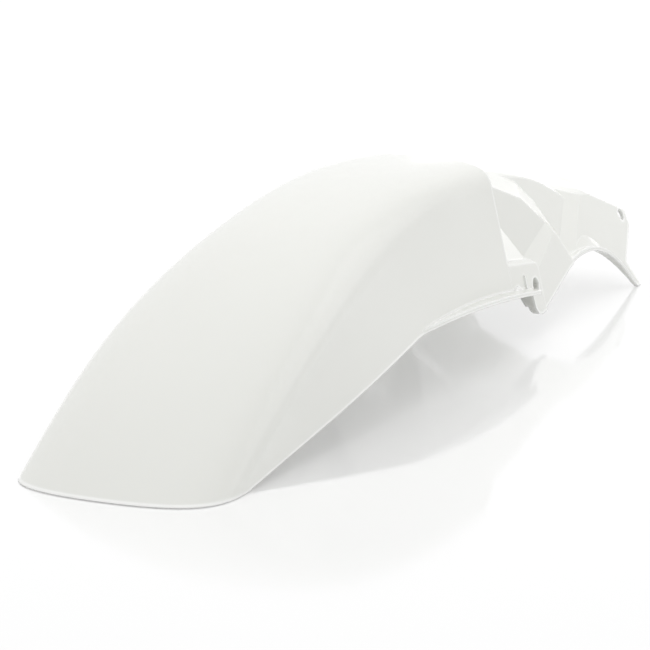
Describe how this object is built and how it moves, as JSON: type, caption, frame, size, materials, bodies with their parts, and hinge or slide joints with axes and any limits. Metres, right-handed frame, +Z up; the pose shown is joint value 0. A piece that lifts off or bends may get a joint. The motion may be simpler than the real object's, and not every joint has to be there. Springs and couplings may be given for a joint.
{
  "type": "motorcycle rear fender",
  "caption": "Long arched plastic rear fender for an off-road motorcycle: a rounded tail that steps down to a narrow front end with side pockets, bolt pads and splayed legs.",
  "frame": {"origin": "middle of the bounding box's bottom face, on the floor that the tail's end and the two front legs stand on", "axes": "+X to the front of the motorcycle, +Y to its left, +Z up"},
  "size_m": [0.8, 0.1896, 0.149],
  "materials": {
    "white_plastic": "glossy moulded white plastic"
  },
  "bodies": {
    "root": {"rear_fender": "white_plastic"}
  },
  "joints": []
}
